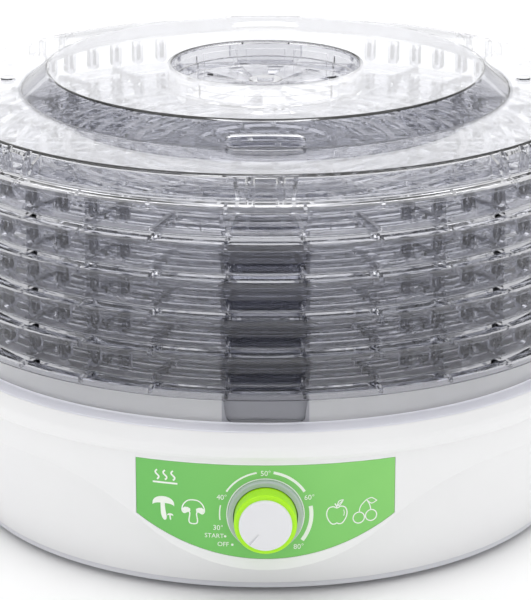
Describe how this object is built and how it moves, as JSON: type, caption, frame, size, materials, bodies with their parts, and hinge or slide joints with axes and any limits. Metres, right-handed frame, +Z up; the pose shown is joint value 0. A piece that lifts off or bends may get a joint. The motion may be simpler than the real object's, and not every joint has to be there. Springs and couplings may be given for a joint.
{
  "type": "food dehydrator",
  "caption": "Round stacking food dehydrator: white base with fan, ring heater and thermostat knob, clear slotted trays and a clear lid with a rotary vent.",
  "frame": {"origin": "on the floor, centre of the four feet, on the upright axis of the trays and fan", "axes": "+Z up, -Y towards the front with the knob, +X to the right seen from the front"},
  "size_m": [0.324, 0.334, 0.2064],
  "materials": {
    "shell_white": "satin",
    "plate_white": "matte",
    "rubber": "matte",
    "clear": "gloss",
    "steel": "satin",
    "panel_green": "satin",
    "dial_grey": "satin",
    "lime": "gloss",
    "knob_white": "satin",
    "black_plastic": "matte",
    "copper": "satin",
    "bronze": "satin",
    "aluminium": "satin",
    "mica": "satin",
    "iron": "matte"
  },
  "bodies": {
    "base": {"base_shell": "shell_white", "bottom_plate": "plate_white", "rubber_feet": "rubber", "bottom_screws": "steel", "base_deck": "clear", "deck_screws": "steel", "outlet_grille": "shell_white", "control_panel": "panel_green", "dial_ring": "dial_grey", "thermostat_body": "black_plastic", "thermostat_bracket": "steel", "bracket_screws": "steel", "thermostat_nut": "steel", "motor_stator": "iron", "motor_coil": "copper", "motor_upper_bracket": "steel", "motor_lower_bracket": "steel", "motor_bushes": "bronze", "motor_spacers": "steel", "motor_screws": "steel", "heat_shield": "aluminium", "shield_screws": "steel", "heater_frame": "mica", "heater_coil": "steel", "thermal_fuse": "steel", "terminal_block": "black_plastic", "cord_gland": "black_plastic"},
    "knob": {"knob_skirt": "lime", "knob_cap": "knob_white", "thermostat_shaft": "steel"},
    "fan": {"rotor_core": "iron", "fan_shaft": "steel", "fan_impeller": "black_plastic", "fan_clip": "steel"},
    "lid_body": {"lid": "clear"},
    "vent": {"vent_damper": "clear"},
    "tray_1_body": {"tray_1": "clear"},
    "tray_2_body": {"tray_2": "clear"},
    "tray_3_body": {"tray_3": "clear"},
    "tray_4_body": {"tray_4": "clear"},
    "tray_5_body": {"tray_5": "clear"}
  },
  "joints": [
    {"name": "knob_turn", "type": "hinge", "parent": "base", "child": "knob", "pos_m": [0, -0.16, 0.044], "axis": [0, 1, 0], "range_deg": [0, 270]},
    {"name": "fan_spin", "type": "hinge", "parent": "base", "child": "fan", "pos_m": [0, 0, 0.06], "axis": [0, 0, 1], "continuous": true},
    {"name": "tray_1_lift", "type": "slide", "parent": "base", "child": "tray_1_body", "axis": [0, 0, 1], "range_m": [0, 0.04]},
    {"name": "tray_2_lift", "type": "slide", "parent": "tray_1_body", "child": "tray_2_body", "axis": [0, 0, 1], "range_m": [0, 0.04]},
    {"name": "tray_3_lift", "type": "slide", "parent": "tray_2_body", "child": "tray_3_body", "axis": [0, 0, 1], "range_m": [0, 0.04]},
    {"name": "tray_4_lift", "type": "slide", "parent": "tray_3_body", "child": "tray_4_body", "axis": [0, 0, 1], "range_m": [0, 0.04]},
    {"name": "tray_5_lift", "type": "slide", "parent": "tray_4_body", "child": "tray_5_body", "axis": [0, 0, 1], "range_m": [0, 0.04]},
    {"name": "lid_lift", "type": "slide", "parent": "tray_5_body", "child": "lid_body", "axis": [0, 0, 1], "range_m": [0, 0.06]},
    {"name": "vent_turn", "type": "hinge", "parent": "lid_body", "child": "vent", "pos_m": [0, 0, 0.1945], "axis": [0, 0, 1], "range_deg": [0, 15]}
  ]
}
